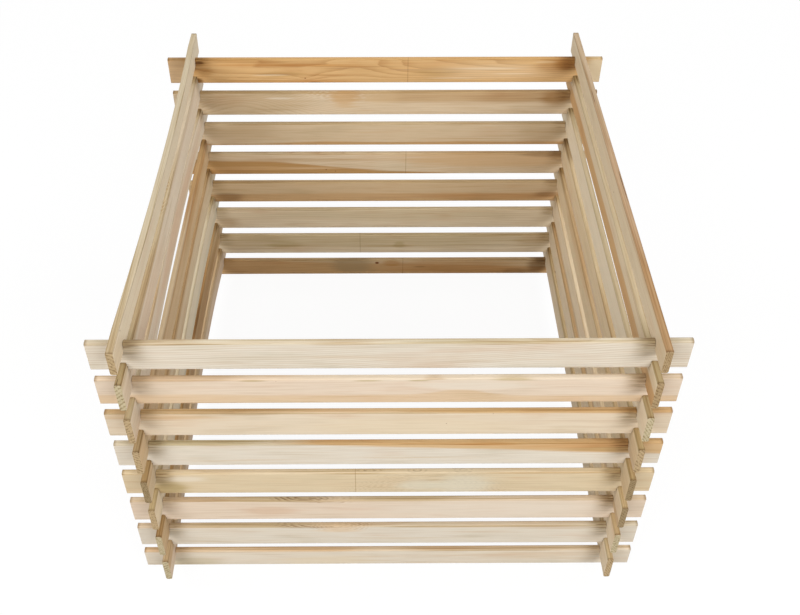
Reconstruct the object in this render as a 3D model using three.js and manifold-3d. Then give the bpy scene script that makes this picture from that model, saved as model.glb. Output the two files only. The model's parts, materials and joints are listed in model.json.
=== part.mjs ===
// Slatted timber compost bin, 1 m square, put together without a single screw.
// Notched slats are stacked crosswise like a log cabin: front and back slats, then side slats,
// each course half-lapped over the one below it. The bin is open at its top and at its bottom.
// Millimetres. +Z up, front facing -Y, origin on the ground in the middle of the plan.

import * as THREE from "three";
import { mergeVertices } from "three/addons/utils/BufferGeometryUtils.js";
import Module from "manifold-3d";

// The slat, planed from sawn softwood
const SLAT_LENGTH = 1000;
const SLAT_HEIGHT = 64;
const SLAT_THICKNESS = 12;
const PLANED_ARRIS_RADIUS = 3.5;

// The notches, cut into both long edges near both ends
const NOTCH_DEPTH = 9.9;
const NOTCH_SIDE_CLEARANCE = 0.8;
const OVERHANG = 57; // from the end of a slat to the middle of its notch

// Base and rim slats have one edge sawn off, just past its notches
const SAWN_PAST_NOTCH = 3;
const SAWN_ARRIS_RADIUS = 1;

// The stack
const COURSES_PER_WALL = 8;
const SEAT_GAP = 0.3; // between the floors of two notches that sit on each other

// Drawing of round edges and overrun of cuts
const ARRIS_SEGMENTS = 2;
const ARRIS_LIMIT_SHARE = 0.45; // largest arris radius, as a share of the slat's thickness
const CUT_OVERRUN = 5;

// Worked out from the sizes above
const sawnHeight = SLAT_HEIGHT - NOTCH_DEPTH - SAWN_PAST_NOTCH;
const lap = 2 * NOTCH_DEPTH - SEAT_GAP; // how far a slat drops over the one it rests on
const wallOffset = SLAT_LENGTH / 2 - OVERHANG; // from the middle of the bin to the middle of a wall
const notchWidth = SLAT_THICKNESS + 2 * NOTCH_SIDE_CLEARANCE;

// Tones of the pressure-treated pine
const TONES = {
  cream: "#dccbae",
  straw: "#d2ba8c",
  honey: "#b8905a",
  tan: "#b39a74",
  greyed: "#b0a085",
};

// Tone of each slat of a wall, from the ground up
const WALL_TONES = {
  front: ["cream", "cream", "cream", "straw", "cream", "straw", "cream", "cream"],
  back: ["honey", "greyed", "greyed", "tan", "greyed", "greyed", "tan", "honey"],
  left: ["tan", "greyed", "straw", "greyed", "tan", "greyed", "tan", "greyed"],
  right: ["greyed", "tan", "greyed", "tan", "greyed", "greyed", "tan", "straw"],
};

const wasm = await Module();
wasm.setup();

// A closed mesh as a solid that can be cut
function solidFrom(geometry) {
  geometry.deleteAttribute("normal");
  geometry.deleteAttribute("uv");
  const merged = mergeVertices(geometry);
  return new wasm.Manifold(
    new wasm.Mesh({
      numProp: 3,
      vertProperties: new Float32Array(merged.attributes.position.array),
      triVerts: new Uint32Array(merged.index.array),
    }),
  );
}

// A cut solid as geometry with flat faces
function geometryFrom(solid) {
  const mesh = solid.getMesh();
  const indexed = new THREE.BufferGeometry();
  indexed.setAttribute("position", new THREE.BufferAttribute(mesh.vertProperties, mesh.numProp));
  indexed.setIndex(new THREE.BufferAttribute(mesh.triVerts, 1));
  const geometry = indexed.toNonIndexed();
  geometry.computeVertexNormals();
  return geometry;
}

// Cross-section of a slat: x across its thickness, y up from its lower edge
function slatSection(height, lowerRadius, upperRadius) {
  const half = SLAT_THICKNESS / 2;
  const largest = SLAT_THICKNESS * ARRIS_LIMIT_SHARE;
  const lower = Math.min(lowerRadius, largest);
  const upper = Math.min(upperRadius, largest);
  const section = new THREE.Shape();
  section.absarc(half - lower, lower, lower, -Math.PI / 2, 0);
  section.absarc(half - upper, height - upper, upper, 0, Math.PI / 2);
  section.absarc(upper - half, height - upper, upper, Math.PI / 2, Math.PI);
  section.absarc(lower - half, lower, lower, Math.PI, Math.PI * 1.5);
  return section;
}

// A bare slat lying along x, with its lower edge at z = 0
function slatBlank(height, lowerRadius, upperRadius) {
  const blank = new THREE.ExtrudeGeometry(slatSection(height, lowerRadius, upperRadius), {
    depth: SLAT_LENGTH,
    bevelEnabled: false,
    curveSegments: ARRIS_SEGMENTS,
  });
  blank.translate(0, 0, -SLAT_LENGTH / 2);
  blank.rotateX(Math.PI / 2);
  blank.rotateZ(Math.PI / 2);
  return solidFrom(blank);
}

// The cutter for one notch, its floor NOTCH_DEPTH inside the edge at edgeHeight
function notchCutter(x, edgeHeight, inward) {
  const tall = NOTCH_DEPTH + CUT_OVERRUN;
  const deep = SLAT_THICKNESS + 2 * CUT_OVERRUN;
  const cutter = new THREE.BoxGeometry(notchWidth, deep, tall);
  cutter.translate(x, 0, edgeHeight + inward * (NOTCH_DEPTH - tall / 2));
  return solidFrom(cutter);
}

// A slat with notches in its lower edge, its upper edge or both.
// An edge without notches is the sawn one.
function slatGeometry({ lowerNotches, upperNotches }) {
  const height = lowerNotches && upperNotches ? SLAT_HEIGHT : sawnHeight;
  const lowerRadius = lowerNotches ? PLANED_ARRIS_RADIUS : SAWN_ARRIS_RADIUS;
  const upperRadius = upperNotches ? PLANED_ARRIS_RADIUS : SAWN_ARRIS_RADIUS;
  let slat = slatBlank(height, lowerRadius, upperRadius);
  for (const x of [-wallOffset, wallOffset]) {
    if (lowerNotches) slat = slat.subtract(notchCutter(x, 0, 1));
    if (upperNotches) slat = slat.subtract(notchCutter(x, height, -1));
  }
  return { geometry: geometryFrom(slat), height };
}

const slats = {
  base: slatGeometry({ lowerNotches: false, upperNotches: true }),
  full: slatGeometry({ lowerNotches: true, upperNotches: true }),
  rim: slatGeometry({ lowerNotches: true, upperNotches: false }),
};

// One slat of a wall, with its lower edge at the height given
function slatMesh(wall, number, slat, bottom) {
  const color = TONES[WALL_TONES[wall][(number - 1) % WALL_TONES[wall].length]];
  const material = new THREE.MeshStandardMaterial({ color, roughness: 0.78, metalness: 0 });
  const mesh = new THREE.Mesh(slat.geometry, material);
  mesh.name = `${wall}_slat_${number}`;
  mesh.position.z = bottom;
  return mesh;
}

// A wall stands this far from the middle of the bin, along the wall's own normal
const WALLS = {
  front: { turn: 0, offset: -wallOffset },
  back: { turn: 0, offset: wallOffset },
  left: { turn: Math.PI / 2, offset: wallOffset },
  right: { turn: Math.PI / 2, offset: -wallOffset },
};

// Empty groups for the four walls, each turned and moved to its place
function wallGroups() {
  const groups = {};
  for (const [wall, place] of Object.entries(WALLS)) {
    const turned = new THREE.Group();
    turned.rotation.z = place.turn;
    groups[wall] = new THREE.Group();
    groups[wall].position.y = place.offset;
    turned.add(groups[wall]);
  }
  return groups;
}

// The stack, from the ground up: a course of front and back slats, then one of side slats
function compostBin() {
  const bin = new THREE.Group();
  const walls = wallGroups();
  for (const group of Object.values(walls)) bin.add(group.parent);

  let bottom = 0;
  for (let number = 1; number <= COURSES_PER_WALL; number++) {
    const crossSlat = number === 1 ? slats.base : slats.full;
    const sideSlat = number === COURSES_PER_WALL ? slats.rim : slats.full;
    for (const wall of ["front", "back"]) {
      walls[wall].add(slatMesh(wall, number, crossSlat, bottom));
    }
    bottom += crossSlat.height - lap;
    for (const wall of ["left", "right"]) {
      walls[wall].add(slatMesh(wall, number, sideSlat, bottom));
    }
    bottom += sideSlat.height - lap;
  }
  return bin;
}

export default compostBin();
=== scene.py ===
import json
import math
import random
from typing import NamedTuple

import bmesh
import bpy
from mathutils import Matrix, Vector, noise


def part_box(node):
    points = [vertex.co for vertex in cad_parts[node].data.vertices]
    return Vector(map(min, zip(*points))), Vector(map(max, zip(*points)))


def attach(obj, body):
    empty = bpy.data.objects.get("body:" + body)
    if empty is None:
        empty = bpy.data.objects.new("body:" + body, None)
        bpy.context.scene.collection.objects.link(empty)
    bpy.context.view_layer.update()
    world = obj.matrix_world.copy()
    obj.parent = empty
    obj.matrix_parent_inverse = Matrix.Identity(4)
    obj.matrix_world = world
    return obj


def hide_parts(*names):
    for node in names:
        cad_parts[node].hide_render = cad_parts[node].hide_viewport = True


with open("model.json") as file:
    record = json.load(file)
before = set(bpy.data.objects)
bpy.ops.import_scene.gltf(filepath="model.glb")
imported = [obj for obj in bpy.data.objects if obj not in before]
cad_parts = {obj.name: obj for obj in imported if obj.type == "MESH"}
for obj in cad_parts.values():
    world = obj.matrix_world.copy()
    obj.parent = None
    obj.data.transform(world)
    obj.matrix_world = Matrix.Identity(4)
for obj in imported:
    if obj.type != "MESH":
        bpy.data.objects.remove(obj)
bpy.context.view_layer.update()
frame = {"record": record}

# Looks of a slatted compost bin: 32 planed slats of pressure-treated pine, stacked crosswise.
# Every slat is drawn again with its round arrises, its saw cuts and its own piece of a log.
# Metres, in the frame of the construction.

MILLIMETRE = 0.001

# The slats
PLANED_ARRIS = 3.5 * MILLIMETRE
SAWN_ARRIS = 1.0 * MILLIMETRE
NOTCH_SIDE_CLEARANCE = 0.8 * MILLIMETRE
SEAT_GAP = 0.3 * MILLIMETRE
SAW_EASING = 0.35 * MILLIMETRE  # wear on the edges of notches and ends
LARGEST_SHORTFALL = 1.0 * MILLIMETRE  # how much short a slat may be sawn at an end
PLANER_RIPPLE = 0.06 * MILLIMETRE
PLANER_RIPPLE_LENGTH = 55 * MILLIMETRE
LARGEST_RIPPLE_SEED = 100
STATION_STEP = 9 * MILLIMETRE
ARRIS_STEPS = 6
FACE_STEPS = 8
EDGE_STEPS = 2
EASING_STEPS = 2
SHARP_ANGLE = math.radians(50)  # edges that turn by more than this aren't shaded round
MERGE_DISTANCE = PLANER_RIPPLE / 10

# The camera, worked out from the corners of the slats in the photograph
CAMERA_PLACE = (-0.01776, -1.56177, 1.87138)
CAMERA_TILT_DOWN = 42.104
CAMERA_PAN_RIGHT = 0.351
CAMERA_ROLL = 0.037
CAMERA_LENS = 44.84
CAMERA_SHIFT = (0.0216, -0.0643)
SENSOR_WIDTH = 36

# The studio
SIDE_LAMP_PLACE = (2.65, -4.3, 3.65)
SIDE_LAMP_SIZE = (3.1, 3.4)
SIDE_LAMP_POWER = 178
BACK_LAMP_PLACE = (0.0, 5.0, 2.0)
BACK_LAMP_SIZE = (3.4, 2.2)
BACK_LAMP_POWER = 60
FILL_LAMP_PLACE = (3.4, 0.2, 3.4)
FILL_LAMP_SIZE = (2.5, 2.0)
FILL_LAMP_POWER = 65
LAMP_AIM = (0.0, -0.1, 0.35)
WHITE = (1, 1, 1, 1)
SKY_STRENGTH = 0.22
FLOOR_SIZE = 40
FLOOR_DROP = 0.2 * MILLIMETRE
FLOOR_REFLECTANCE = 0.4  # towards the object; to the camera the floor is white
FLOOR_GLOW_SHARE = 0.93  # how much of the floor's brightness doesn't depend on the lamps


class Cut(NamedTuple):
    """How a slat was sawn from its log. Lengths are shares of a full slat's height."""

    sap: str
    heart: str
    pith: tuple  # the middle of the log, seen from the slat's own: (through the slat, up)
    lean: tuple  # how far the pith drifts from one end of the slat to the other
    heart_radius: float
    ring: float
    contrast: float
    edge: str = "dusty"  # shade of the upper edge: weathering, and painted shade where less light falls on the tops
    end: str = "biscuit"  # tone of the sawn ends
    swirls: tuple = ()  # (along the slat, up, reach along, reach up, push)
    patches: tuple = ()  # (shade or tone, strength, along, up, reach along, reach up)
    # Arched rings: (shade or tone, strength, along, up, reach along, reach up, spacing)
    eyes: tuple = ()
    knots: tuple = ()  # (along, up, radius)
    cracks: tuple = ()  # in the upper edge: (along, through, length)
    splits: tuple = ()  # in the faces: (along, up, length)
    joints: tuple = ()  # where lengths of wood were glued together, along
    bow: tuple = (0.4, -0.3)  # away from the viewer, at the lower and upper edge, millimetres
    skew: float = 0.0  # how much more a slat bows towards its right end
    shadow_and_grime: tuple = (1.0, 1.0)  # strength of the painted shadow and grime beside the left and the right crossing


# Tones of the wood
TONES = {
    "milk": "#e6dccb",
    "cream": "#e8dcc9",
    "blush": "#e9d6c0",
    "straw": "#e3d0ae",
    "peach": "#e3c8a6",
    "amber": "#dcba8c",
    "honey": "#ddb680",
    "ochre": "#cba676",
    "umber": "#bd9560",
    "wheat": "#ecdcc0",
    "mist": "#dcd8c6",
    "tan": "#d6bd98",
    "sand": "#dcc8aa",
    "oat": "#ddcdb0",
    "greyed": "#d8ccb2",
    "biscuit": "#bda47e",
    "husk": "#c6b795",
    "bark": "#9c8662",
    "crust": "#af956f",
    "vanilla": "#e7d6bd",
    "caramel": "#d0ad80",
}

# Shades that darken the wood under them
SHADES = {
    "dusty": "#efebe0",
    "rusty": "#efe2d0",
    "bare": "#fbf8f2",
    "smoky": "#ddd4c0",
    "dim": "#c3b99f",
    "hazy": "#d2cab6",
    "cool": "#ddd9d1",
    "ashen": "#cccdc4",
    "rosy": "#ddd2ca",
    # darker on the stubs of side slats, beyond the front crossing
    "stub_darkening": "#efe9e2",
    "orange": "#efdcc2",
    "brown": "#d8c4a6",
    "olive": "#dbd5ba",
    "stain": "#9f8965",
    "grey": "#e2e0d4",
    "pink": "#f1dccb",
    "late_wood": "#c9b08e",
    "knot": "#8d5a34",
    "crack": "#6e5334",
    "glue": "#b79b74",
}

# Slats are numbered from the ground up
CUTS = {
    "front_slat_8": Cut(
        "milk", "milk", (0.30, 1.60), (0.10, 0.10), 0.2, 0.085, 0.34,
        swirls=(
            (0.6, -0.4, 2.2, 0.7, 0.30),
            (4.6, 0.1, 1.5, 0.7, -0.12),
            (-4.0, -0.1, 1.1, 0.5, 0.05),
        ),
        patches=(
            ("brown", 0.5, -6.0, 0.50, 1.2, 0.10),
            ("brown", 0.5, -1.2, 0.46, 1.0, 0.05),
            ("olive", 0.4, 2.8, 0.50, 2.2, 0.05),
        ),
        shadow_and_grime=(0.9, 1.0),
    ),
    "front_slat_7": Cut(
        "blush", "peach", (0.40, -3.00), (0.0, -0.10), 2.88, 0.060, 0.16,
        edge="bare",
        swirls=((1.9, -0.10, 0.9, 0.5, -0.26),),
        patches=(
            ("brown", 0.6, -5.6, 0.49, 1.6, 0.09),
            ("milk", 0.5, 1.5, 0.50, 5.0, 0.07),
            ("olive", 0.9, -3.6, 0.44, 0.4, 0.04),
            ("olive", 0.9, -0.6, 0.43, 0.4, 0.03),
            ("olive", 0.9, 0.8, 0.43, 0.3, 0.03),
            ("brown", 0.5, 1.2, 0.48, 0.3, 0.03),
            ("olive", 0.8, 3.3, 0.46, 0.6, 0.05),
            ("milk", 0.5, 2.2, 0.22, 1.6, 0.20),
        ),
        knots=((-3.0, 0.42, 0.008),),
        shadow_and_grime=(0.5, 1.0),
    ),
    "front_slat_6": Cut(
        "vanilla", "amber", (0.20, 3.00), (0.0, -0.06), 2.55, 0.060, 0.14,
        patches=(
            ("orange", 0.7, -6.3, 0.32, 1.9, 0.14),
            ("brown", 0.4, -3.8, 0.47, 0.9, 0.06),
            ("milk", 0.5, -1.0, 0.47, 3.0, 0.03),
            ("straw", 0.4, 0.5, -0.1, 3.5, 0.4),
        ),
        knots=((1.60, 0.01, 0.012), (2.87, 0.43, 0.010)),
        shadow_and_grime=(0.5, 1.0),
    ),
    "front_slat_5": Cut(
        "milk", "amber", (0.30, 2.62), (0.0, -0.80), 2.27, 0.070, 0.16,
        patches=(
            ("olive", 0.8, -5.4, 0.50, 1.9, 0.08),
            ("brown", 0.3, -1.8, 0.50, 2.4, 0.06),
            ("orange", 0.9, 2.9, 0.44, 1.0, 0.06),
            ("milk", 0.5, 5.0, -0.05, 2.0, 0.08),
            ("orange", 0.7, 5.4, 0.36, 2.2, 0.12),
            ("olive", 0.7, 6.2, 0.22, 1.2, 0.12),
            ("brown", 0.5, 6.4, 0.40, 1.0, 0.16),
        ),
        shadow_and_grime=(0.7, 1.0),
    ),
    "front_slat_4": Cut(
        "straw", "straw", (0.60, -2.50), (0.1, 0.10), 0.5, 0.050, 0.30,
        edge="bare",
        patches=(
            ("olive", 0.9, -6.5, -0.22, 0.6, 0.34),
            ("cream", 0.6, -6.0, 0.24, 0.7, 0.14),
            ("cream", 0.25, -0.5, 0.50, 6.0, 0.07),
            ("brown", 0.6, 5.0, 0.46, 2.6, 0.03),
            ("brown", 0.5, -1.4, 0.46, 1.0, 0.02),
            ("mist", 0.45, 0.9, -0.1, 0.7, 0.30),
            ("mist", 0.5, 2.2, -0.05, 0.9, 0.50),
        ),
        eyes=(
            ("stain", 0.3, 1.2, -1.0, 3.0, 2.0, 0.045),
            ("stain", 0.7, -0.55, 0.52, 0.42, 0.12, 0.5),
            ("stain", 0.7, 0.85, 0.52, 0.33, 0.12, 0.5),
            ("stain", 0.7, 2.2, 0.52, 0.33, 0.12, 0.5),
        ),
        joints=(-0.97,),
        shadow_and_grime=(0.9, 1.0),
    ),
    "front_slat_3": Cut(
        "blush", "blush", (0.50, 2.00), (0.1, 0.20), 1.40, 0.070, 0.16,
        swirls=((-3.7, -0.1, 0.9, 0.4, 0.08),),
        patches=(
            ("brown", 0.5, -5.8, 0.50, 0.9, 0.06),
            ("olive", 0.6, -3.6, 0.50, 1.6, 0.06),
            ("olive", 0.6, 0.6, 0.49, 1.9, 0.05),
            ("pink", 0.5, -3.6, -0.02, 0.9, 0.24),
            ("milk", 0.4, 3.4, 0.0, 4.0, 0.50),
        ),
        eyes=(
            ("stain", 0.9, -2.55, 0.56, 1.15, 0.20, 0.145),
            ("late_wood", 0.5, -1.75, 0.60, 0.9, 0.36, 0.20),
        ),
        shadow_and_grime=(0.4, 1.0),
    ),
    "front_slat_2": Cut(
        "milk", "blush", (0.30, 2.20), (0.0, 0.10), 1.76, 0.060, 0.20,
        patches=(
            ("olive", 0.7, -4.6, 0.50, 2.2, 0.07),
            ("orange", 0.6, 3.6, 0.44, 2.9, 0.05),
            ("brown", 0.4, 5.4, 0.38, 1.9, 0.10),
            ("peach", 0.6, -1.5, 0.34, 0.75, 0.20),
        ),
        eyes=(
            ("stain", 1.0, -2.1, 0.58, 1.75, 0.24, 0.10),
            ("brown", 0.9, -1.5, 0.60, 1.15, 0.46, 0.10),
        ),
        shadow_and_grime=(0.5, 0.9),
    ),
    "front_slat_1": Cut(
        "cream", "peach", (0.30, 2.40), (0.0, 0.05), 2.04, 0.055, 0.16,
        edge="bare",
        patches=(
            ("olive", 0.5, -6.3, -0.2, 1.0, 0.3),
            ("straw", 0.4, -2.0, -0.2, 1.6, 0.3),
            ("orange", 0.6, -2.6, 0.38, 2.2, 0.04),
            ("orange", 0.4, 4.6, 0.1, 2.2, 0.2),
            ("brown", 0.5, 3.4, 0.40, 3.2, 0.04),
        ),
        shadow_and_grime=(0.3, 0.5),
    ),
    "back_slat_8": Cut(
        "honey", "honey", (0.90, 0.40), (-0.3, 0.50), 0.98, 0.055, 0.50,
        swirls=((-2.9, -0.3, 0.5, 0.3, -0.05), (-0.8, 0.2, 1.6, 0.5, 0.10)),
        patches=(
            ("orange", 0.9, -3.2, 0.26, 3.0, 0.07),
            ("brown", 0.7, -1.2, 0.20, 1.8, 0.03),
            ("brown", 0.6, -4.9, 0.40, 1.6, 0.06),
            ("brown", 0.7, -2.2, -0.16, 0.8, 0.025),
            ("orange", 0.8, -3.6, -0.42, 3.0, 0.06),
            ("olive", 0.6, -3.8, -0.12, 0.8, 0.12),
            ("olive", 0.6, 1.9, -0.05, 0.9, 0.14),
            ("blush", 0.4, -7.5, 0.0, 0.45, 0.7),
            ("smoky", 0.7, -7.4, 0.1, 0.5, 0.9),
            ("stain", 0.25, -7.3, 0.4, 0.5, 0.25),
            ("straw", 0.9, 7.6, 0.0, 0.45, 0.7),
            ("wheat", 0.2, 4.2, 0.0, 2.4, 0.4),
            ("wheat", 0.4, 3.8, 0.10, 1.2, 0.05),
            ("wheat", 0.4, 4.6, -0.12, 0.8, 0.03),
            ("wheat", 0.3, 2.4, -0.30, 0.9, 0.03),
            ("wheat", 0.4, -4.2, -0.16, 0.7, 0.03),
            ("wheat", 0.4, 5.8, 0.36, 0.5, 0.04),
            # These two brown patches near the right crossing are painted shadow of the right wall
            ("brown", 0.9, 6.5, 0.28, 0.5, 0.28),
            ("brown", 0.7, 6.2, 0.20, 0.9, 0.34),
            ("stain", 0.9, -6.72, 0.36, 0.22, 0.06),
            ("stain", 0.9, -6.80, -0.38, 0.16, 0.10),
            ("rusty", 0.9, -6.6, -0.05, 0.4, 0.2),
            ("stain", 0.8, -2.55, -0.47, 0.26, 0.03),
        ),
        knots=((-2.91, -0.29, 0.022),),
        joints=(0.82,),
        shadow_and_grime=(0.8, 1.0),
    ),
    "back_slat_7": Cut(
        "sand", "tan", (0.50, 1.60), (0.0, 0.0), 1.62, 0.070, 0.30,
        swirls=((-5.4, 0.3, 2.7, 1.0, 0.80),),
        patches=(
            ("smoky", 0.5, -5.2, 0.1, 2.4, 0.7),
            ("milk", 0.5, -3.9, 0.24, 0.6, 0.05),
            ("ochre", 0.8, -1.50, 0.26, 0.55, 0.42),
            ("tan", 0.8, -0.2, 0.30, 0.75, 0.36),
            ("brown", 0.4, 2.2, 0.30, 4.2, 0.32),
            ("brown", 0.9, 6.3, 0.22, 0.6, 0.34),
            ("brown", 0.5, 4.8, 0.26, 1.8, 0.24),
        ),
        eyes=(("milk", 0.7, -1.4, 1.05, 2.0, 1.20, 0.08),),
        shadow_and_grime=(0.2, 1.0),
    ),
    "back_slat_6": Cut(
        "sand", "ochre", (0.30, -2.60), (0.0, 0.10), 2.26, 0.080, 0.14,
        swirls=((-2.4, -0.4, 1.4, 0.4, -0.05), (3.2, -0.4, 1.2, 0.4, -0.05)),
        patches=(
            ("smoky", 0.3, 0.0, 0.0, 9.0, 0.9),
            ("smoky", 0.4, -5.4, 0.1, 1.4, 0.5),
            ("smoky", 0.4, 6.0, 0.1, 1.0, 0.5),
        ),
        shadow_and_grime=(0.4, 0.5),
    ),
    "back_slat_5": Cut(
        "sand", "umber", (0.40, -1.90), (0.0, -1.04), 1.68, 0.080, 0.26,
        swirls=((-4.5, 0.0, 1.6, 0.5, -0.10),),
        patches=(
            ("ochre", 0.65, 4.4, 0.25, 4.0, 0.50),
            ("brown", 0.4, -3.6, 0.20, 2.6, 0.10),
            ("amber", 0.35, -4.6, -0.20, 2.6, 0.10),
            ("sand", 0.4, -2.9, -0.20, 1.2, 0.03),
            ("greyed", 0.3, 0.3, -0.10, 0.8, 0.30),
            ("stain", 0.5, 6.3, 0.42, 1.1, 0.12),
        ),
        knots=((-2.30, -0.28, 0.022), (-1.94, -0.35, 0.018)),
        joints=(0.81,),
        shadow_and_grime=(0.3, 0.8),
    ),
    "back_slat_4": Cut(
        "tan", "caramel", (0.40, -2.60), (0.0, 0.05), 2.58, 0.070, 0.22,
        patches=(
            ("orange", 0.7, 4.0, -0.24, 3.2, 0.16),
            ("stain", 0.6, -6.3, -0.26, 0.7, 0.22),
            ("stain", 0.45, 6.5, -0.14, 0.6, 0.14),
        ),
        shadow_and_grime=(0.4, 0.5),
    ),
    "back_slat_3": Cut(
        "wheat", "wheat", (0.80, 1.40), (0.1, 0.30), 0.9, 0.080, 0.22,
        patches=(("olive", 0.4, 0.0, 0.2, 6.0, 0.3), ("brown", 0.5, -6.5, -0.2, 0.6, 0.3)),
        shadow_and_grime=(0.4, 0.6),
    ),
    "back_slat_2": Cut(
        "wheat", "wheat", (1.20, -0.60), (0.1, 0.30), 0.9, 0.080, 0.22,
        patches=(
            ("olive", 0.6, 0.0, 0.2, 7.0, 0.4),
            ("smoky", 0.5, -5.6, 0.1, 1.4, 0.5),
            ("smoky", 0.5, 6.2, 0.2, 0.8, 0.4),
            ("olive", 0.6, 0.6, -0.02, 0.25, 0.20),
            ("olive", 0.6, -4.2, 0.0, 0.8, 0.20),
        ),
        joints=(-1.03,),
        shadow_and_grime=(0.6, 0.6),
    ),
    "back_slat_1": Cut(
        "tan", "ochre", (0.60, -0.90), (0.3, -0.30), 1.30, 0.080, 0.30,
        patches=(
            ("stain", 0.7, 6.5, 0.1, 0.5, 0.5),
            ("stain", 0.4, 5.6, -0.3, 0.6, 0.2),
            ("orange", 0.7, 3.4, 0.0, 3.0, 0.5),
            ("bark", 0.65, -1.4, 0.1, 0.9, 0.6),
            ("orange", 0.9, 0.3, 0.2, 0.4, 0.2),
            ("stain", 0.4, 1.5, 0.0, 0.3, 0.05),
        ),
        knots=((-0.33, 0.23, 0.065),),
        joints=(0.77,),
        shadow_and_grime=(0.2, 1.0),
    ),
    "left_slat_8": Cut(
        "wheat", "straw", (1.10, 1.60), (0.0, 0.20), 1.60, 0.034, 0.30,
        edge="cool",
        patches=(
            ("mist", 0.3, 1.0, 0.0, 9.0, 0.9),
            ("stub_darkening", 0.9, -7.45, -0.1, 0.6, 0.5),
        ),
        knots=((-6.9, 0.28, 0.02),),
        bow=(-3.5, -7.5), skew=0.15,
    ),
    "left_slat_7": Cut(
        "cream", "oat", (-1.00, 1.50), (0.0, 0.40), 1.40, 0.040, 0.30,
        edge="dim",
        end="husk",
        patches=(
            ("brown", 0.6, -4.0, 0.42, 2.8, 0.14),
            ("brown", 0.4, 3.6, 0.42, 3.6, 0.16),
            ("pink", 0.4, -4.0, -0.1, 3.0, 0.4),
            ("stub_darkening", 0.9, -7.45, -0.1, 0.6, 0.5),
            ("cream", 0.5, 4.4, 0.50, 2.8, 0.09),
        ),
        eyes=(("brown", 0.8, -0.1, 0.56, 1.0, 0.34, 0.17),),
        cracks=((-7.7, 0.02, 0.16),),
        bow=(-1.5, -1.5),
    ),
    "left_slat_6": Cut(
        "cream", "oat", (0.90, -1.60), (0.0, 0.20), 1.40, 0.045, 0.26,
        edge="dim",
        patches=(
            ("orange", 0.8, -3.6, 0.50, 1.8, 0.10),
            ("pink", 0.7, 1.0, 0.0, 5.0, 0.4),
            ("stub_darkening", 0.9, -7.45, -0.1, 0.6, 0.5),
        ),
        bow=(7.0, 6.0), skew=0.45,
    ),
    "left_slat_5": Cut(
        "tan", "ochre", (0.60, 1.50), (0.1, -0.50), 1.34, 0.050, 0.28,
        edge="ashen",
        patches=(
            ("brown", 0.6, -2.5, 0.45, 5.5, 0.14),
            ("rusty", 0.9, 1.8, 0.50, 1.8, 0.10),
            ("orange", 0.6, 3.6, 0.2, 3.2, 0.3),
            ("sand", 0.7, -1.0, 0.50, 4.0, 0.09),
        ),
        bow=(0.5, 0.5),
    ),
    "left_slat_4": Cut(
        "oat", "tan", (0.40, 2.00), (0.1, 0.20), 1.80, 0.050, 0.25,
        edge="dim",
        end="bark",
        patches=(
            ("brown", 0.6, 0.0, 0.46, 7.0, 0.14),
            ("orange", 0.5, -2.2, -0.30, 3.0, 0.14),
            ("stub_darkening", 0.8, -7.45, -0.1, 0.6, 0.5),
        ),
        bow=(5.0, 4.0), skew=0.5,
    ),
    "left_slat_3": Cut(
        "wheat", "greyed", (0.50, -2.00), (0.0, 0.30), 1.90, 0.050, 0.22,
        edge="dim",
        # The mist over the whole slat is painted light: it lightens this slat where it lies in
        # shade
        patches=(("mist", 0.5, 3.0, 0.0, 9.0, 0.9),),
        bow=(5.0, 5.0), skew=0.5,
    ),
    "left_slat_2": Cut(
        "tan", "ochre", (0.40, 1.90), (0.0, 0.10), 1.50, 0.050, 0.28,
        edge="ashen",
        end="husk",
        patches=(
            ("brown", 0.8, 1.5, 0.0, 5.0, 0.5),
            ("smoky", 0.6, 0.0, 0.2, 9.0, 0.9),
            ("stain", 0.5, 1.2, 0.50, 0.9, 0.06),
            ("stain", 0.5, 3.2, -0.42, 0.4, 0.08),
        ),
        splits=((-7.9, 0.1, 0.12),),
        bow=(6.5, 6.0), skew=0.5,
    ),
    "left_slat_1": Cut(
        "blush", "tan", (0.50, 1.60), (0.0, 0.20), 1.60, 0.050, 0.26,
        edge="cool",
        end="husk",
        bow=(9.0, 8.0), skew=0.55,
    ),
    "right_slat_8": Cut(
        "oat", "straw", (0.30, 2.00), (0.0, 0.10), 1.50, 0.045, 0.25,
        edge="rosy",
        end="crust",
        patches=(
            ("orange", 1.0, 7.0, 0.40, 4.0, 0.12),
            ("pink", 0.5, 1.0, 0.40, 4.0, 0.10),
            ("stub_darkening", 1.0, 7.45, -0.1, 0.6, 0.5),
        ),
        knots=((0.86, -0.10, 0.02),),
        cracks=((1.2, 0.02, 0.9), (-3.6, -0.05, 0.5)),
    ),
    "right_slat_7": Cut(
        "oat", "ochre", (0.40, -1.90), (0.0, -0.04), 2.00, 0.045, 0.22,
        edge="dim",
        end="crust",
        patches=(
            ("brown", 0.5, 4.6, 0.40, 1.6, 0.03),
            ("stub_darkening", 0.8, 7.45, -0.1, 0.6, 0.5),
        ),
        bow=(1.6, 1.3), skew=-0.3,
    ),
    "right_slat_6": Cut(
        "wheat", "greyed", (0.50, 2.10), (0.0, 0.20), 1.60, 0.045, 0.22,
        edge="dim",
        end="husk",
        patches=(
            ("mist", 0.3, 0.0, 0.0, 9.0, 0.9),
            ("smoky", 0.5, 0.0, 0.50, 8.0, 0.05),
            ("stub_darkening", 0.4, 7.45, -0.1, 0.6, 0.5),
        ),
        bow=(-0.5, -1.2),
    ),
    "right_slat_5": Cut(
        "straw", "sand", (0.40, -1.90), (0.0, 0.20), 1.70, 0.050, 0.25,
        edge="dim",
        patches=(
            ("stain", 0.6, -6.2, 0.50, 0.9, 0.16),
            ("brown", 0.5, 3.0, 0.48, 2.2, 0.06),
            ("stub_darkening", 0.9, 7.45, -0.1, 0.6, 0.5),
        ),
    ),
    "right_slat_4": Cut(
        "straw", "tan", (0.60, 1.70), (0.1, 0.20), 1.45, 0.050, 0.28,
        edge="dim",
        end="bark",
        patches=(
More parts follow.
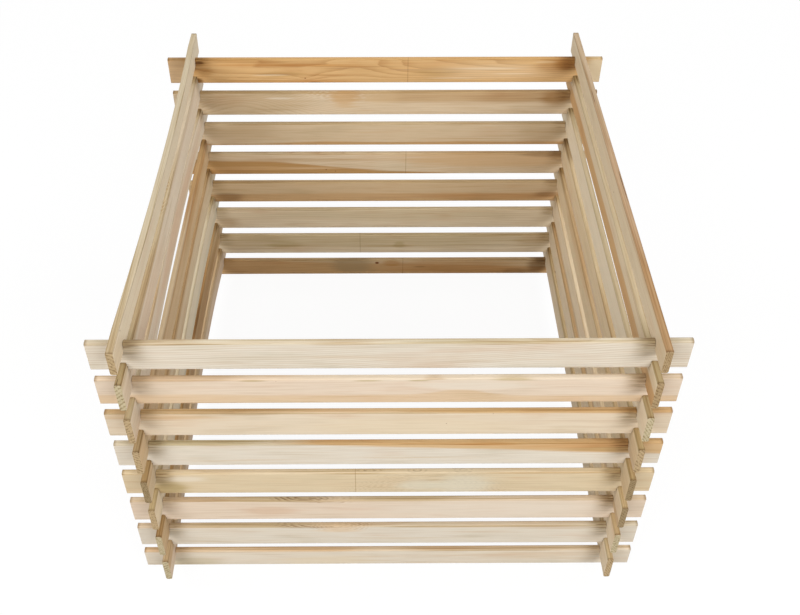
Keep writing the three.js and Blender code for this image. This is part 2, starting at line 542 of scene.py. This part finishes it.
            ("orange", 0.4, -2.0, 0.3, 3.0, 0.3),
            ("stain", 0.4, -6.2, 0.40, 1.0, 0.06),
            ("stub_darkening", 0.8, 7.45, -0.1, 0.6, 0.5),
        ),
    ),
    "right_slat_3": Cut(
        "wheat", "tan", (0.40, -1.60), (0.0, 0.20), 1.40, 0.050, 0.25,
        edge="smoky",
        end="bark",
        patches=(("stub_darkening", 0.8, 7.45, -0.1, 0.6, 0.5),),
    ),
    "right_slat_2": Cut(
        "wheat", "tan", (0.50, 1.80), (0.0, 0.10), 1.44, 0.050, 0.25,
        edge="hazy",
        end="husk",
        patches=(("brown", 0.6, -2.0, 0.50, 6.0, 0.08),),
        knots=((-4.79, -0.44, 0.06),),
    ),
    "right_slat_1": Cut(
        "wheat", "sand", (0.60, 1.90), (0.0, 0.20), 1.60, 0.050, 0.22,
        edge="hazy",
        patches=(("olive", 0.7, -2.0, 0.44, 7.0, 0.16),),
        knots=((-6.15, 0.62, 0.09),),
    ),
}

# A slat's own axes: x along it, y through it, z up. Its -y face is the one that the camera sees.
WALL_TURNS = {"front": 0, "back": 0, "left": math.pi / 2, "right": -math.pi / 2}

# Sizes that the whole stack shares, read from the frame
_, first_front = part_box("front_slat_1")
first_left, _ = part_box("left_slat_1")
full_low, full_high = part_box("front_slat_2")
SLAT_LENGTH = full_high.x - full_low.x
SLAT_THICKNESS = full_high.y - full_low.y
FULL_HEIGHT = full_high.z - full_low.z
NOTCH_DEPTH = (first_front.z - first_left.z + SEAT_GAP) / 2
NOTCH_WIDTH = SLAT_THICKNESS + 2 * NOTCH_SIDE_CLEARANCE
CROSSING = abs(full_low.y + full_high.y) / 2  # from the middle of a slat to its notches


def colour(code):
    """A hex colour as linear light, by the curve of sRGB."""
    channels = [int(code[i : i + 2], 16) / 255 for i in (1, 3, 5)]
    linear = [c / 12.92 if c <= 0.04045 else ((c + 0.055) / 1.055) ** 2.4 for c in channels]
    return (*linear, 1.0)


class Slat:
    """Where a slat lies and how it is notched, worked out from its box in the frame."""

    def __init__(self, name):
        self.name = name
        low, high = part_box(name)
        self.centre = (low + high) / 2
        self.height = high.z - low.z
        wall = name.split("_")[0]
        self.turn = WALL_TURNS[wall]
        self.is_side = wall in ("left", "right")
        reduced = self.height < FULL_HEIGHT - NOTCH_DEPTH / 2
        self.lower_notches = self.is_side or not reduced
        self.upper_notches = not self.is_side or not reduced
        self.cut = CUTS[name]
        self.random = random.Random(name)
        self.ripple_seed = self.random.uniform(0, LARGEST_RIPPLE_SEED)

    def matrix(self):
        return Matrix.Translation(self.centre) @ Matrix.Rotation(self.turn, 4, "Z")


def arc(centre, radius, start, end, steps):
    """Points of an arc about centre, both ends included, angles in degrees."""
    points = []
    for i in range(steps + 1):
        angle = math.radians(start + (end - start) * i / steps)
        points.append((centre[0] + radius * math.cos(angle), centre[1] + radius * math.sin(angle)))
    return points


def between(start, end, steps):
    """Points strictly between two others."""
    return [
        (start[0] + (end[0] - start[0]) * i / steps, start[1] + (end[1] - start[1]) * i / steps)
        for i in range(1, steps)
    ]


def section(slat):
    """One closed ring of (y, z) points round the slat, with its arrises round."""
    half_thick = SLAT_THICKNESS / 2
    half_high = slat.height / 2
    lower = PLANED_ARRIS if slat.lower_notches else SAWN_ARRIS
    upper = PLANED_ARRIS if slat.upper_notches else SAWN_ARRIS
    right = arc((half_thick - lower, lower - half_high), lower, -90, 0, ARRIS_STEPS)
    right += between((half_thick, lower - half_high), (half_thick, half_high - upper), FACE_STEPS)
    right += arc((half_thick - upper, half_high - upper), upper, 0, 90, ARRIS_STEPS)
    across_top = between(right[-1], (-right[-1][0], right[-1][1]), EDGE_STEPS)
    left = [(-y, z) for y, z in reversed(right)]
    across_bottom = between(left[-1], (-left[-1][0], left[-1][1]), EDGE_STEPS)
    return right + across_top + left + across_bottom


def stations(left_end, right_end):
    """Places along the slat as (x, inside a notch), with two at each wall of a notch."""
    walls = []
    for side in (-1, 1):
        for edge in (-1, 1):
            walls.append(side * CROSSING + edge * NOTCH_WIDTH / 2)
    marks = [left_end, *walls, right_end]
    places = [(left_end, False)]
    inside = False
    for start, end in zip(marks, marks[1:]):
        steps = max(2, round((end - start) / STATION_STEP))
        places += [(start + (end - start) * i / steps, inside) for i in range(1, steps)]
        if end != right_end:
            places += [(end, inside), (end, not inside)]
            inside = not inside
    places.append((right_end, False))
    return places


def in_notch(slat, z):
    """A height inside a notch, moved to the notch's floor."""
    notch_floor = slat.height / 2 - NOTCH_DEPTH
    if slat.lower_notches and z < -notch_floor:
        return -notch_floor
    if slat.upper_notches and z > notch_floor:
        return notch_floor
    return z


def bend(slat, x, y, z):
    """The slat's bow and twist between its crossings, and the ripple that the planer left."""
    along = x / CROSSING
    reach = max(0.0, 1 - along**2)
    lower, upper = (bow * MILLIMETRE for bow in slat.cut.bow)
    bow = lower + (upper - lower) * (z / slat.height + 0.5)
    place = Vector((x / PLANER_RIPPLE_LENGTH, z / PLANER_RIPPLE_LENGTH, slat.ripple_seed))
    side = math.copysign(1, y)
    bow += side * PLANER_RIPPLE * (noise.noise(place) - 0.5)
    return y + bow * reach * (1 + slat.cut.skew * along)


def slat_mesh(slat):
    """The slat as rings of points along its length, notched, with both ends closed."""
    mesh = bpy.data.meshes.new(slat.name + "_looks")
    shape = bmesh.new()
    left_end = slat.random.uniform(0, LARGEST_SHORTFALL) - SLAT_LENGTH / 2
    right_end = SLAT_LENGTH / 2 - slat.random.uniform(0, LARGEST_SHORTFALL)
    ring = section(slat)
    rows = []
    for x, inside in stations(left_end, right_end):
        row = []
        for y, z in ring:
            height = in_notch(slat, z) if inside else z
            row.append(shape.verts.new((x, bend(slat, x, y, height), height)))
        rows.append(row)
    for near, far in zip(rows, rows[1:]):
        for i in range(len(ring)):
            j = (i + 1) % len(ring)
            shape.faces.new((near[i], near[j], far[j], far[i]))
    shape.faces.new(list(reversed(rows[0])))
    shape.faces.new(rows[-1])
    bmesh.ops.remove_doubles(shape, verts=shape.verts, dist=MERGE_DISTANCE)
    bmesh.ops.dissolve_degenerate(shape, edges=shape.edges, dist=MERGE_DISTANCE)
    bmesh.ops.recalc_face_normals(shape, faces=shape.faces)
    for face in shape.faces:
        face.smooth = True
    shape.to_mesh(mesh)
    shape.free()
    mesh.set_sharp_from_angle(angle=SHARP_ANGLE)
    return mesh


def ease_edges(piece):
    """Takes the sharpness off sawn edges."""
    easing = piece.modifiers.new("worn_edges", "BEVEL")
    easing.width = SAW_EASING
    easing.segments = EASING_STEPS
    easing.limit_method = "ANGLE"
    easing.angle_limit = SHARP_ANGLE
    easing.harden_normals = True


class Graph:
    """The nodes of a material or a world, with a short call for each kind that is needed."""

    def __init__(self, owner):
        self.owner = owner
        owner.use_nodes = True
        self.nodes = owner.node_tree.nodes
        self.links = owner.node_tree.links
        self.nodes.clear()

    def add(self, kind, inputs, output, **settings):
        """A node with its inputs set or linked, and the socket that it gives."""
        node = self.nodes.new(kind)
        for key, setting in settings.items():
            setattr(node, key, setting)
        for key, given in inputs.items():
            if isinstance(given, bpy.types.NodeSocket):
                self.links.new(given, node.inputs[key])
            elif given is not None:
                node.inputs[key].default_value = given
        return node.outputs[output]

    def math(self, operation, a, b=None):
        return self.add("ShaderNodeMath", {0: a, 1: b}, 0, operation=operation)

    def total(self, *terms):
        result = terms[0]
        for term in terms[1:]:
            result = self.math("ADD", result, term)
        return result

    def times(self, a, b):
        return self.math("MULTIPLY", a, b)

    def offset(self, value, middle):
        return self.math("SUBTRACT", value, middle)

    def squares(self, *terms):
        return self.total(*(self.times(term, term) for term in terms))

    def map_range(self, value, low, high, lowest=0.0, highest=1.0, interpolation="LINEAR"):
        inputs = {"Value": value, "From Min": low, "From Max": high}
        inputs.update({"To Min": lowest, "To Max": highest})
        return self.add("ShaderNodeMapRange", inputs, 0, interpolation_type=interpolation)

    def soft_step(self, value, low, high):
        return self.map_range(value, low, high, interpolation="SMOOTHSTEP")

    def mix(self, factor, a, b, blend="MIX"):
        inputs = {"Factor": factor, "A": a, "B": b}
        node = self.nodes.new("ShaderNodeMix")
        node.data_type = "RGBA"
        node.blend_type = blend
        for socket in node.inputs:
            given = inputs.get(socket.name) if socket.enabled else None
            if isinstance(given, bpy.types.NodeSocket):
                self.links.new(given, socket)
            elif given is not None:
                socket.default_value = given
        return next(s for s in node.outputs if s.enabled)

    def ramp(self, factor, stops):
        """Grey levels between (position, level) stops."""
        node = self.nodes.new("ShaderNodeValToRGB")
        elements = node.color_ramp.elements
        while len(elements) < len(stops):
            elements.new(0.5)
        for element, (position, level) in zip(elements, stops):
            element.position = position
            element.color = (level, level, level, 1)
        self.links.new(factor, node.inputs[0])
        return node.outputs[0]

    def seen(self):
        """1 along the rays by which the camera sees, also off gloss and through glass."""
        path = self.nodes.new("ShaderNodeLightPath")
        result = path.outputs["Is Camera Ray"]
        for kind in ("Glossy", "Transmission"):
            result = self.math("MAXIMUM", result, path.outputs[f"Is {kind} Ray"])
        return result

    def show(self, surface, owner_kind="Material"):
        """Makes a shader the surface of the material or the world."""
        output = self.nodes.new("ShaderNodeOutput" + owner_kind)
        self.links.new(surface, output.inputs["Surface"])


# Noise in the wood: (cycles per metre along the slat, through it and up it), seed's shift, detail
PATTERNS = {
    "wander": ((2.6, 14, 14), 0, 2.0),
    "fibre": ((14, 900, 900), 0, 3.0),
    "grain": ((6, 330, 330), 3, 2.0),
    "edge_lines": ((2.5, 300, 40), 7, 2.0),
    "streak": ((3.5, 150, 150), 5, 3.0),
    "cloud": ((5, 26, 26), 9, 3.0),
    "dash": ((22, 420, 420), 13, 2.0),
    "fuzz": ((260, 260, 260), 0, 3.0),
}
PATTERN_ROUGHNESS = 0.58
LARGEST_SEED = 40
SEED_SPREAD = (1.0, 1.7, 2.3)  # keeps the three axes apart

# Growth. Lengths are shares of a full slat's height.
PITH_SWAY = 0.16
PITH_SHIVER = 0.025
HEARTWOOD_FADE = (0.05, -0.05)  # beyond the heartwood's radius
HEARTWOOD_RAGGEDNESS = 0.10
RING_PROFILE = ((0.0, 0.0), (0.45, 0.12), (0.80, 0.70), (0.93, 1.0), (1.0, 0.0))
EYE_PROFILE = ((0.0, 0.0), (0.40, 0.1), (0.75, 1.0), (0.90, 0.8), (1.0, 0.0))
EYE_SWAY = 0.5
EYE_BREAKS = (0.36, 0.54)  # in the grain
EYE_OUTER_FADE = (1.05, 0.65)
EYE_INNER_FADE = (0.15, 0.45)

# Tints that follow a pattern: (pattern, from, to, shade, strength)
BROAD_TINTS = (
    ("streak", 0.54, 0.80, "orange", 0.5),
    ("cloud", 0.50, 0.85, "grey", 0.6),
    ("cloud", 0.48, 0.15, "pink", 0.6),
)
FINE_TINTS = (
    ("grain", 0.50, 0.70, "brown", 0.3),
    ("grain", 0.46, 0.30, "orange", 0.3),
)
FIBRE_PROFILE = ((0.25, 0.35), (0.75, 1.0))
FIBRE_CONTRAST = 0.13

# Marks. A mask with a FADE goes from 0 at its first number to 1 at its second.
PATCH_RAGGEDNESS = 0.9
PATCH_FADE = (0.12, 0.80)
KNOT_STRETCH = 1.5
KNOT_FADE = (0.25, 0.75)
CRACK_WIDTH = 0.7 * MILLIMETRE
CRACK_SWAY = 0.2
GLUE_LINE = 0.9 * MILLIMETRE
GLUE_STRENGTH = 0.6
LINE_CORE = 0.45  # share of a line's reach that is wholly dark

# Weathering and painted shade: the upper edge, beside the crossings and at the corners
EDGE_BAND = 3.4 * MILLIMETRE  # how far the dark upper edge reaches down
EDGE_BAND_FADE = (1.3, 0.7)
EDGE_RAGGEDNESS = 3 * MILLIMETRE
EDGE_LINES_FADE = (0.48, 0.66)
EDGE_LINES_STRENGTH = 0.9
CORNER_REACH = 7 * MILLIMETRE
CORNER_STRENGTH = 0.7
CROSSING_REACH = 50 * MILLIMETRE
CROSSING_DEPTH = 0.80  # how far the painted shadow and grime beside a crossing fade down the slat
DASH_FADE = (0.46, 0.60)
DASH_STRENGTH = 0.8
EDGE_BAND_MIDDLE_REACH = 110 * MILLIMETRE  # the darker upper edge of side slats, weathering and painted shade, lightens farther from their crossings
EDGE_BAND_MIDDLE_SHARE = 0.5

# Sawn ends
END_FADE = (0.55, 0.85)  # by how squarely a face looks along the slat
END_LINES = 8 * MILLIMETRE  # between the growth rings on a sawn end
END_LINES_SPREAD = (0.75, 1.25)
END_LINES_SLOPE = (0.5, 2.0)
END_LINES_SWAY = 12 * MILLIMETRE
END_LINES_SHIVER = 3 * MILLIMETRE
END_LINES_FADE = (-0.1, 0.9)
END_LINES_BREAKS = (0.30, 0.60)
END_LINES_STRENGTH = 0.7
PORES_FADE = (0.42, 0.66)
PORES_STRENGTH = 0.5

# Surface
FIBRE_RELIEF = 0.6
RING_RELIEF = 0.3
SAW_RELIEF = 1.5
RELIEF_STRENGTH = 0.35
RELIEF_DEPTH = 0.4 * MILLIMETRE
ROUGHNESS = (0.62, 0.82)
SPECULAR = 0.3


class Pine(Graph):
    """The wood of one slat: growth rings about the pith of its log, then its marks, wear and
    painted shade.
    """

    def __init__(self, slat):
        super().__init__(bpy.data.materials.new("pine_" + slat.name))
        self.slat = slat
        self.cut = slat.cut
        self.seed = slat.random.uniform(-LARGEST_SEED, LARGEST_SEED)
        self.place = self.add("ShaderNodeTexCoord", {}, "Object")
        self.x, self.y, self.z = (
            self.add("ShaderNodeSeparateXYZ", {0: self.place}, i) for i in range(3)
        )
        self.noises = {name: self.pattern(*settings) for name, settings in PATTERNS.items()}

    def pattern(self, scale, shift, detail):
        """Noise stretched along each axis, from this slat's own place in it."""
        location = tuple((self.seed + shift) * spread for spread in SEED_SPREAD)
        inputs = {"Vector": self.place, "Scale": scale, "Location": location}
        place = self.add("ShaderNodeMapping", inputs, 0)
        inputs = {"Vector": place, "Scale": 1.0, "Detail": detail, "Roughness": PATTERN_ROUGHNESS}
        return self.add("ShaderNodeTexNoise", inputs, 0)

    def swing(self, name, reach):
        """A noise pattern as a swing to both sides of zero."""
        return self.times(self.offset(self.noises[name], 0.5), reach)

    def where(self, name, low, high):
        """A mask of where a noise pattern goes from low to high."""
        return self.soft_step(self.noises[name], low, high)

    def shade(self, base, mask, name, strength=1.0):
        """Darkens the colour by a named shade where the mask is."""
        factor = mask if strength == 1.0 else self.times(mask, strength)
        return self.mix(factor, base, colour(SHADES[name]), "MULTIPLY")

    def tint(self, base, mask, name):
        """Darkens by a named shade, or lays a named tone over the colour."""
        if name in TONES:
            return self.mix(mask, base, colour(TONES[name]))
        return self.shade(base, mask, name)

    def tinted(self, base, tints):
        for pattern, low, high, shade, strength in tints:
            base = self.shade(base, self.where(pattern, low, high), shade, strength)
        return base

    def near(self, value, middle, reach):
        """1 at the middle, falling off softly at the reach."""
        distance = self.math("ABSOLUTE", self.offset(value, middle))
        return self.soft_step(distance, reach, reach * LINE_CORE)

    def share(self, axis, middle, reach):
        """Distance from a middle as a share of the reach, both in a full slat's height."""
        return self.times(self.offset(axis, middle * FULL_HEIGHT), 1 / (reach * FULL_HEIGHT))

    def hill(self, along, up, reach_along, reach_up):
        """A soft round hill in the plane of the slat's face, 1 at its top."""
        right = self.share(self.x, along, reach_along)
        above = self.share(self.z, up, reach_up)
        return self.math("POWER", math.e, self.times(self.squares(right, above), -1.0))

    def from_pith(self):
        """Distance from the pith, which drifts and wanders along the slat."""
        cut, size = self.cut, FULL_HEIGHT
        off = []
        for axis, pith, lean in zip((self.y, self.z), cut.pith, cut.lean):
            drift = self.times(self.x, lean * size / SLAT_LENGTH)
            off.append(self.offset(self.offset(axis, pith * size), drift))
        sway = self.swing("wander", PITH_SWAY * size)
        shiver = self.swing("streak", PITH_SHIVER * size)
        radius = self.total(self.math("SQRT", self.squares(*off)), sway, shiver)
        for along, up, reach_along, reach_up, push in cut.swirls:
            hill = self.hill(along, up, reach_along, reach_up)
            radius = self.total(radius, self.times(hill, push * size))
        return radius

    def rings(self, radius):
        """Pale early wood that darkens into a thin line of late wood."""
        phase = self.math("FRACT", self.times(radius, 1 / (self.cut.ring * FULL_HEIGHT)))
        return self.ramp(phase, RING_PROFILE)

    def heartwood(self, radius):
        """The sapwood's tone, and the heartwood's inside its radius, with an uneven edge."""
        edge = self.total(radius, self.swing("streak", HEARTWOOD_RAGGEDNESS * FULL_HEIGHT))
        outer, inner = ((self.cut.heart_radius + step) * FULL_HEIGHT for step in HEARTWOOD_FADE)
        heart = self.soft_step(edge, outer, inner)
        return self.mix(heart, colour(TONES[self.cut.sap]), colour(TONES[self.cut.heart]))

    def eye(self, along, up, reach_along, reach_up, spacing):
        """Rings that arch round the root of a branch, fading away from it."""
        square = self.squares(
            self.share(self.x, along, reach_along),
            self.share(self.y, 0.0, reach_up),
            self.share(self.z, up, reach_up),
        )
        radius = self.math("SQRT", square)
        phase = self.times(self.total(radius, self.swing("streak", EYE_SWAY)), 1 / spacing)
        lines = self.ramp(self.math("FRACT", phase), EYE_PROFILE)
        lines = self.times(lines, self.where("grain", *EYE_BREAKS))
        outer = self.soft_step(radius, *EYE_OUTER_FADE)
        inner = self.soft_step(radius, *EYE_INNER_FADE)
        return self.times(lines, self.times(outer, inner))

    def thin_line(self, axis, middle, along, length):
        """A wavering line along the slat, its places and length in a full slat's height."""
        sway = self.swing("wander", CRACK_SWAY * FULL_HEIGHT)
        thin = self.near(self.total(axis, sway), middle * FULL_HEIGHT, CRACK_WIDTH)
        return self.times(thin, self.near(self.x, along * FULL_HEIGHT, length * FULL_HEIGHT))

    def marks(self, base):
        """Stains, knots, cracks and glued joints, each where its slat has it."""
        cut = self.cut
        for shade, strength, *eye in cut.eyes:
            base = self.tint(base, self.times(self.eye(*eye), strength), shade)
        ragged = self.swing("streak", PATCH_RAGGEDNESS)
        for shade, strength, *place in cut.patches:
            mask = self.soft_step(self.total(self.hill(*place), ragged), *PATCH_FADE)
            base = self.tint(base, self.times(mask, strength), shade)
        for along, up, radius in cut.knots:
            hill = self.hill(along, up, radius * KNOT_STRETCH, radius)
            base = self.shade(base, self.soft_step(hill, *KNOT_FADE), "knot")
        top = self.slat.height / 2
        for along, through, length in cut.cracks:
            upper_edge = self.soft_step(self.z, top - 2 * CRACK_WIDTH, top - CRACK_WIDTH)
            crack = self.times(self.thin_line(self.y, through, along, length), upper_edge)
            base = self.shade(base, crack, "crack")
        for along, up, length in cut.splits:
            base = self.shade(base, self.thin_line(self.z, up, along, length), "crack")
        for along in cut.joints:
            line = self.near(self.x, along * FULL_HEIGHT, GLUE_LINE)
            base = self.shade(base, line, "glue", GLUE_STRENGTH)
        return base

    def weather_and_painted_shade(self, base):
        """The upper edge darkens, as weathering and as painted shade on the tops, most of all
        beside the crossings, where painted shadow lies, and at the corners.
        """
        top = self.slat.height / 2
        height = self.total(self.z, self.swing("streak", EDGE_RAGGEDNESS))
        band = self.soft_step(height, *(top - EDGE_BAND * share for share in EDGE_BAND_FADE))
        away = self.math("ABSOLUTE", self.x)
        if self.slat.is_side and self.slat.upper_notches:
            middle_fade = self.map_range(away, CROSSING - EDGE_BAND_MIDDLE_REACH, CROSSING, EDGE_BAND_MIDDLE_SHARE)
            band = self.times(band, middle_fade)
        # The darker upper edge: partly weathering, partly painted shade on the tops
        base = self.shade(base, band, self.cut.edge)
        lines = self.times(band, self.where("edge_lines", *EDGE_LINES_FADE))
        base = self.shade(base, lines, "smoky", EDGE_LINES_STRENGTH)
        if self.slat.upper_notches:
            # Beside the crossings: painted shadow of the side slats, with dashes of dirt in it
            beside = self.crossing_shadow_and_grime(away, top)
            dashes = self.times(beside, self.where("dash", *DASH_FADE))
            base = self.shade(base, dashes, "stain", DASH_STRENGTH)
            base = self.shade(base, beside, "smoky")
        corner = self.soft_step(away, SLAT_LENGTH / 2 - CORNER_REACH, SLAT_LENGTH / 2)
        return self.shade(base, self.times(corner, band), "stain", CORNER_STRENGTH)

    def crossing_shadow_and_grime(self, away, top):
        """Painted shadow of the side slats beside the crossings, with dirt in it, strongest at the
        upper edge.
        """
        before = self.soft_step(away, CROSSING - CROSSING_REACH, CROSSING - NOTCH_WIDTH)
        behind = self.soft_step(away, CROSSING + NOTCH_WIDTH, CROSSING)
        height = self.soft_step(self.z, top - CROSSING_DEPTH * FULL_HEIGHT, top)
        amount = self.map_range(self.x, -CROSSING, CROSSING, *self.cut.shadow_and_grime)
        return self.times(self.times(self.times(before, behind), height), amount)

    def ends(self, base):
        """Sawn ends show the rings closer together, rough and darker."""
        facing = self.add("ShaderNodeTexCoord", {}, "Normal")
        facing = self.add("ShaderNodeSeparateXYZ", {0: facing}, 0)
        end = self.soft_step(self.math("ABSOLUTE", facing), *END_FADE)
        slope = self.slat.random.choice((-1, 1)) * self.slat.random.uniform(*END_LINES_SLOPE)
        spacing = END_LINES * self.slat.random.uniform(*END_LINES_SPREAD)
        fuzz = self.noises["fuzz"]
        sway = self.times(self.noises["streak"], END_LINES_SWAY)
        sway = self.total(sway, self.times(fuzz, END_LINES_SHIVER))
        across = self.total(self.z, self.times(self.y, slope), sway)
        waves = self.math("SINE", self.times(across, 2 * math.pi / spacing))
        lines = self.soft_step(waves, *END_LINES_FADE)
        lines = self.times(lines, self.where("fuzz", *END_LINES_BREAKS))
        sawn = self.shade(colour(TONES[self.cut.end]), lines, "stain", END_LINES_STRENGTH)
        sawn = self.shade(sawn, self.where("fuzz", *PORES_FADE), "olive", PORES_STRENGTH)
        return self.mix(end, base, sawn), self.times(end, fuzz)

    def finish(self):
        """The whole material, with the relief of grain and saw marks."""
        radius = self.from_pith()
        rings = self.rings(radius)
        fibre = self.noises["fibre"]
        base = self.heartwood(radius)
        base = self.shade(base, self.times(rings, self.cut.contrast), "late_wood")
        base = self.tinted(base, BROAD_TINTS)
        base = self.mix(FIBRE_CONTRAST, base, self.ramp(fibre, FIBRE_PROFILE), "MULTIPLY")
        base = self.tinted(base, FINE_TINTS)
        base = self.weather_and_painted_shade(self.marks(base))
        base, saw_marks = self.ends(base)

        height = self.total(
            self.times(fibre, FIBRE_RELIEF),
            self.times(rings, RING_RELIEF),
            self.times(saw_marks, SAW_RELIEF),
        )
        bump = {"Strength": RELIEF_STRENGTH, "Distance": RELIEF_DEPTH, "Height": height}
        shader = {
            "Base Color": base,
            "Roughness": self.map_range(self.noises["streak"], 0, 1, *ROUGHNESS),
            "Normal": self.add("ShaderNodeBump", bump, "Normal"),
            "Specular IOR Level": SPECULAR,
        }
        self.show(self.add("ShaderNodeBsdfPrincipled", shader, 0))
        return self.owner


def dress(name, body):
    """Stands the detailed slat in the place of the plain one."""
    slat = Slat(name)
    piece = bpy.data.objects.new(name.replace("_slat_", "_board_"), slat_mesh(slat))
    bpy.context.scene.collection.objects.link(piece)
    piece.matrix_world = slat.matrix()
    piece.data.materials.append(Pine(slat).finish())
    ease_edges(piece)
    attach(piece, body)
    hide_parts(name)


def floor():
    """A white floor that keeps a faint shadow of the bin."""
    mesh = bpy.data.meshes.new("floor")
    half = FLOOR_SIZE / 2
    corners = [(-half, -half), (half, -half), (half, half), (-half, half)]
    mesh.from_pydata([(x, y, -FLOOR_DROP) for x, y in corners], [], [(0, 1, 2, 3)])
    plane = bpy.data.objects.new("studio_floor", mesh)
    bpy.context.scene.collection.objects.link(plane)
    g = Graph(bpy.data.materials.new("floor_paper"))
    seen = g.seen()
    reflectance = g.total(g.times(seen, 1 - FLOOR_REFLECTANCE), FLOOR_REFLECTANCE)
    diffuse = g.add("ShaderNodeBsdfDiffuse", {"Color": reflectance}, 0)
    glow = g.add("ShaderNodeEmission", {"Color": WHITE, "Strength": 1.0}, 0)
    share = g.times(seen, FLOOR_GLOW_SHARE)
    g.show(g.add("ShaderNodeMixShader", {0: share, 1: diffuse, 2: glow}, 0))
    plane.data.materials.append(g.owner)


def sky():
    """White all round: an even fill on the object, full white to the camera."""
    world = bpy.data.worlds.new("studio")
    bpy.context.scene.world = world
    g = Graph(world)
    fill = g.add("ShaderNodeBackground", {"Color": WHITE, "Strength": SKY_STRENGTH}, 0)
    backdrop = g.add("ShaderNodeBackground", {"Color": WHITE, "Strength": 1.0}, 0)
    g.show(g.add("ShaderNodeMixShader", {0: g.seen(), 1: fill, 2: backdrop}, 0), "World")


def lamp(name, place, size, power):
    """A softbox that faces the bin."""
    light = bpy.data.lights.new(name, "AREA")
    light.shape = "RECTANGLE"
    light.size, light.size_y = size
    light.energy = power
    holder = bpy.data.objects.new(name, light)
    bpy.context.scene.collection.objects.link(holder)
    holder.location = place
    holder.rotation_euler = (Vector(LAMP_AIM) - Vector(place)).to_track_quat("-Z", "Y").to_euler()


def camera():
    data = bpy.data.cameras.new("camera")
    data.sensor_width = SENSOR_WIDTH
    data.lens = CAMERA_LENS
    data.shift_x, data.shift_y = CAMERA_SHIFT
    holder = bpy.data.objects.new("camera", data)
    bpy.context.scene.collection.objects.link(holder)
    pan = Matrix.Rotation(-math.radians(CAMERA_PAN_RIGHT), 4, "Z")
    tilt = Matrix.Rotation(math.radians(90 - CAMERA_TILT_DOWN), 4, "X")
    roll = Matrix.Rotation(math.radians(CAMERA_ROLL), 4, "Z")
    holder.matrix_world = Matrix.Translation(CAMERA_PLACE) @ pan @ tilt @ roll
    bpy.context.scene.camera = holder


camera()
sky()
floor()
for side, word in ((-1, "left"), (1, "right")):
    x, y, z = SIDE_LAMP_PLACE
    lamp(word + "_lamp", (side * x, y, z), SIDE_LAMP_SIZE, SIDE_LAMP_POWER)
    x, y, z = FILL_LAMP_PLACE
    lamp(word + "_fill_lamp", (side * x, y, z), FILL_LAMP_SIZE, FILL_LAMP_POWER)
lamp("back_lamp", BACK_LAMP_PLACE, BACK_LAMP_SIZE, BACK_LAMP_POWER)
for body, members in frame["record"]["behaviour"]["bodies"].items():
    for name in members:
        dress(name, body)

bpy.context.scene.view_settings.view_transform = "Standard"
